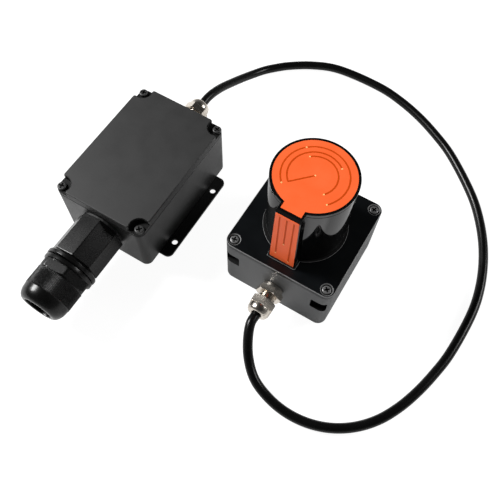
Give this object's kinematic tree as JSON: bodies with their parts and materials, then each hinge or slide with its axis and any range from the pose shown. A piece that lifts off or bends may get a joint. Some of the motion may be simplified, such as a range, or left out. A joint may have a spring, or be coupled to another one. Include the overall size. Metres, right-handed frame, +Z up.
{
  "type": "lidar scanner module",
  "caption": "Scanning range finder: a glossy round head on a square sealed base, joined by one free cable to a sealed interface box with a large cable gland and a flanged plate.",
  "frame": {"origin": "on the scan axis, at the underside of the scanner's square base", "axes": "+Z up along the scan axis; -Y is the side of the scanner's cable gland and opaque rear pillar; +X to the scanner's right, away from the interface box"},
  "size_m": [0.2859, 0.3018, 0.1035],
  "materials": {
    "box_housing": "satin black with a fine moulded grain",
    "box_lid": "even matte dark grey",
    "base_housing": "satin black coat",
    "base_lid": "smooth satin black",
    "nylon": "moulded nylon, satin",
    "rubber": "matte",
    "window": "mirror-smooth dark window plastic",
    "orange_label": "smooth satin orange with thin engraved traces",
    "nickel": "nickel plated, lightly worn",
    "screw_steel": "blackened steel",
    "steel": "turned",
    "aluminium": "machined",
    "board": "green solder mask",
    "lens": "clear",
    "mirror": "polished",
    "cable_jacket": "satin black jacket"
  },
  "bodies": {
    "housings": {"box_body": "box_housing", "box_lid": "box_lid", "box_lid_seal": "rubber", "box_mount_plate": "box_housing", "box_board": "board", "box_terminal_block": "nylon", "box_power_converter": "nylon", "box_board_socket": "aluminium", "port_barrel": "nylon", "port_gasket": "rubber", "port_locknut": "nylon", "port_collar": "nylon", "network_socket": "aluminium", "base_body": "base_housing", "base_lid": "base_lid", "base_lid_seal": "rubber", "control_board": "board", "head_flange": "rubber", "scan_window": "window", "rear_pillar": "window", "head_cap": "window", "top_label": "orange_label", "strip_label": "orange_label", "motor_bracket": "aluminium", "lower_bearing": "steel", "upper_bearing": "steel", "motor_stator": "steel", "encoder_sensor": "nylon", "optics_holder": "nylon", "receiver_lens": "lens", "laser_module": "aluminium", "cable": "cable_jacket", "box_lid_screw_1": "screw_steel", "base_lid_screw_1": "screw_steel", "box_lid_screw_2": "screw_steel", "base_lid_screw_2": "screw_steel", "box_lid_screw_3": "screw_steel", "base_lid_screw_3": "screw_steel", "box_lid_screw_4": "screw_steel", "base_lid_screw_4": "screw_steel", "plate_screw_1": "screw_steel", "plate_screw_2": "screw_steel", "box_gland_body": "nickel", "box_gland_locknut": "nickel", "box_gland_seal": "rubber", "base_gland_body": "nickel", "base_gland_locknut": "nickel", "base_gland_seal": "rubber"},
    "scan_rotor": {"rotor_hub": "aluminium", "spindle_shaft": "steel", "encoder_disc": "steel", "mirror_mount": "aluminium", "scan_mirror": "mirror"},
    "port_clamp": {"port_claw": "nylon", "port_seal": "rubber"},
    "port_nut": {"port_nut": "nylon"},
    "box_slip_ring": {"box_gland_ring": "nickel"},
    "box_gland_nut": {"box_gland_nut": "nickel"},
    "base_slip_ring": {"base_gland_ring": "nickel"},
    "base_gland_nut": {"base_gland_nut": "nickel"}
  },
  "joints": [
    {"name": "scan_spin", "type": "hinge", "parent": "housings", "child": "scan_rotor", "pos_m": [0, 0, 0.058], "axis": [0, 0, 1], "continuous": true},
    {"name": "port_nut_travel", "type": "slide", "parent": "housings", "child": "port_clamp", "axis": [0, -1, 0], "range_m": [0, 0.0045]},
    {"name": "port_nut_turn", "type": "hinge", "parent": "port_clamp", "child": "port_nut", "pos_m": [-0.1182, -0.11, 0.027], "axis": [0, -1, 0], "range_deg": [0, 1080]},
    {"name": "box_gland_travel", "type": "slide", "parent": "housings", "child": "box_slip_ring", "axis": [0, 1, 0], "range_m": [0, 0.003]},
    {"name": "box_gland_turn", "type": "hinge", "parent": "box_slip_ring", "child": "box_gland_nut", "pos_m": [-0.119, 0.05, 0.027], "axis": [0, 1, 0], "range_deg": [0, 720]},
    {"name": "base_gland_travel", "type": "slide", "parent": "housings", "child": "base_slip_ring", "axis": [0, -1, 0], "range_m": [0, 0.003]},
    {"name": "base_gland_turn", "type": "hinge", "parent": "base_slip_ring", "child": "base_gland_nut", "pos_m": [0, -0.0508, 0.021], "axis": [0, -1, 0], "range_deg": [0, 720]}
  ],
  "couplings": [
    {"joint": "port_nut_travel", "follows": "port_nut_turn", "m_per_rad": 0.00023873},
    {"joint": "box_gland_travel", "follows": "box_gland_turn", "m_per_rad": 0.00023873},
    {"joint": "base_gland_travel", "follows": "base_gland_turn", "m_per_rad": 0.00023873}
  ]
}
